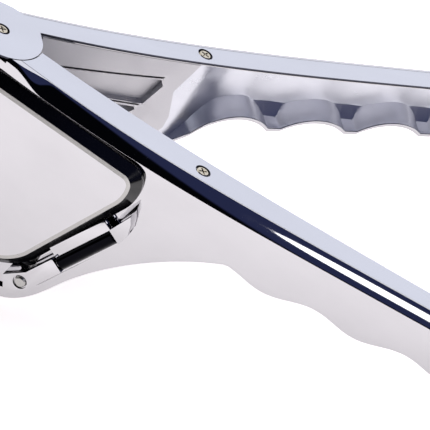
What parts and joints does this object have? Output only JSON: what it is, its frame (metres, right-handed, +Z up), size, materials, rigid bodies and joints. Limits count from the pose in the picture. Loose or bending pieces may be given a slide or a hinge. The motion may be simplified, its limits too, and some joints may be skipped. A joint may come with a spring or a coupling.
{
  "type": "garlic press",
  "caption": "Hand press with two hinged scalloped handles, a flared head, a swinging plunger and a sieve behind a hinged door.",
  "frame": {"origin": "centre of the bounding box, on the surface it stands on", "axes": "+X along the handles to their tips, +Z up, front arm on the -Y side"},
  "size_m": [0.1814, 0.128, 0.0659],
  "materials": {
    "chrome_plate": "polished chrome plate over zinc die casting",
    "side_plate_chrome": "flat chrome plate, slightly satin",
    "satin_zinc": "matte cast zinc alloy",
    "stainless_steel": "bright stainless steel",
    "nickel_screw": "nickel-plated steel",
    "nylon_bush": "natural nylon"
  },
  "bodies": {
    "front_arm": {"front_arm_shell": "chrome_plate", "front_side_plate": "side_plate_chrome", "front_plate_screw_1": "nickel_screw", "front_plate_screw_2": "nickel_screw", "pivot_pin": "stainless_steel", "upper_pivot_bush": "nylon_bush", "lower_pivot_bush": "nylon_bush", "pivot_screw_1": "nickel_screw", "pivot_screw_2": "nickel_screw", "hopper_cup": "stainless_steel", "sieve_plate": "stainless_steel", "door_hinge_pin": "stainless_steel", "upper_hinge_lug": "chrome_plate", "lower_hinge_strap": "chrome_plate", "hinge_rivet": "stainless_steel"},
    "rear_arm": {"rear_arm_shell": "chrome_plate", "rear_side_plate": "side_plate_chrome", "rear_plate_screw_1": "nickel_screw", "rear_plate_screw_2": "nickel_screw", "rear_inner_block": "satin_zinc", "lower_pivot_strap": "chrome_plate", "strap_screw_1": "nickel_screw", "strap_screw_2": "nickel_screw", "plunger_carrier": "satin_zinc", "carrier_screw_1": "nickel_screw", "carrier_screw_2": "nickel_screw", "plunger_pin": "stainless_steel", "plunger_pin_clip_1": "stainless_steel", "plunger_pin_clip_2": "stainless_steel"},
    "plunger": {"plunger": "satin_zinc"},
    "door": {"hopper_door": "chrome_plate"}
  },
  "joints": [
    {"name": "arm_swing", "type": "hinge", "parent": "front_arm", "child": "rear_arm", "pos_m": [-0.06532, -0.02744, 0.06273], "axis": [0.3152, -0.0422, 0.9481], "range_deg": [-40.3, 5]},
    {"name": "plunger_swing", "type": "hinge", "parent": "rear_arm", "child": "plunger", "pos_m": [-0.05486, -0.01591, 0.02496], "axis": [0.3152, -0.0422, 0.9481], "range_deg": [-5, 40.3]},
    {"name": "door_swing", "type": "hinge", "parent": "front_arm", "child": "door", "pos_m": [-0.03266, -0.04987, 0.02893], "axis": [0.6817, -0.1692, 0.7118], "range_deg": [0, 110]}
  ],
  "couplings": [
    {"joint": "plunger_swing", "follows": "arm_swing", "ratio": -1}
  ]
}
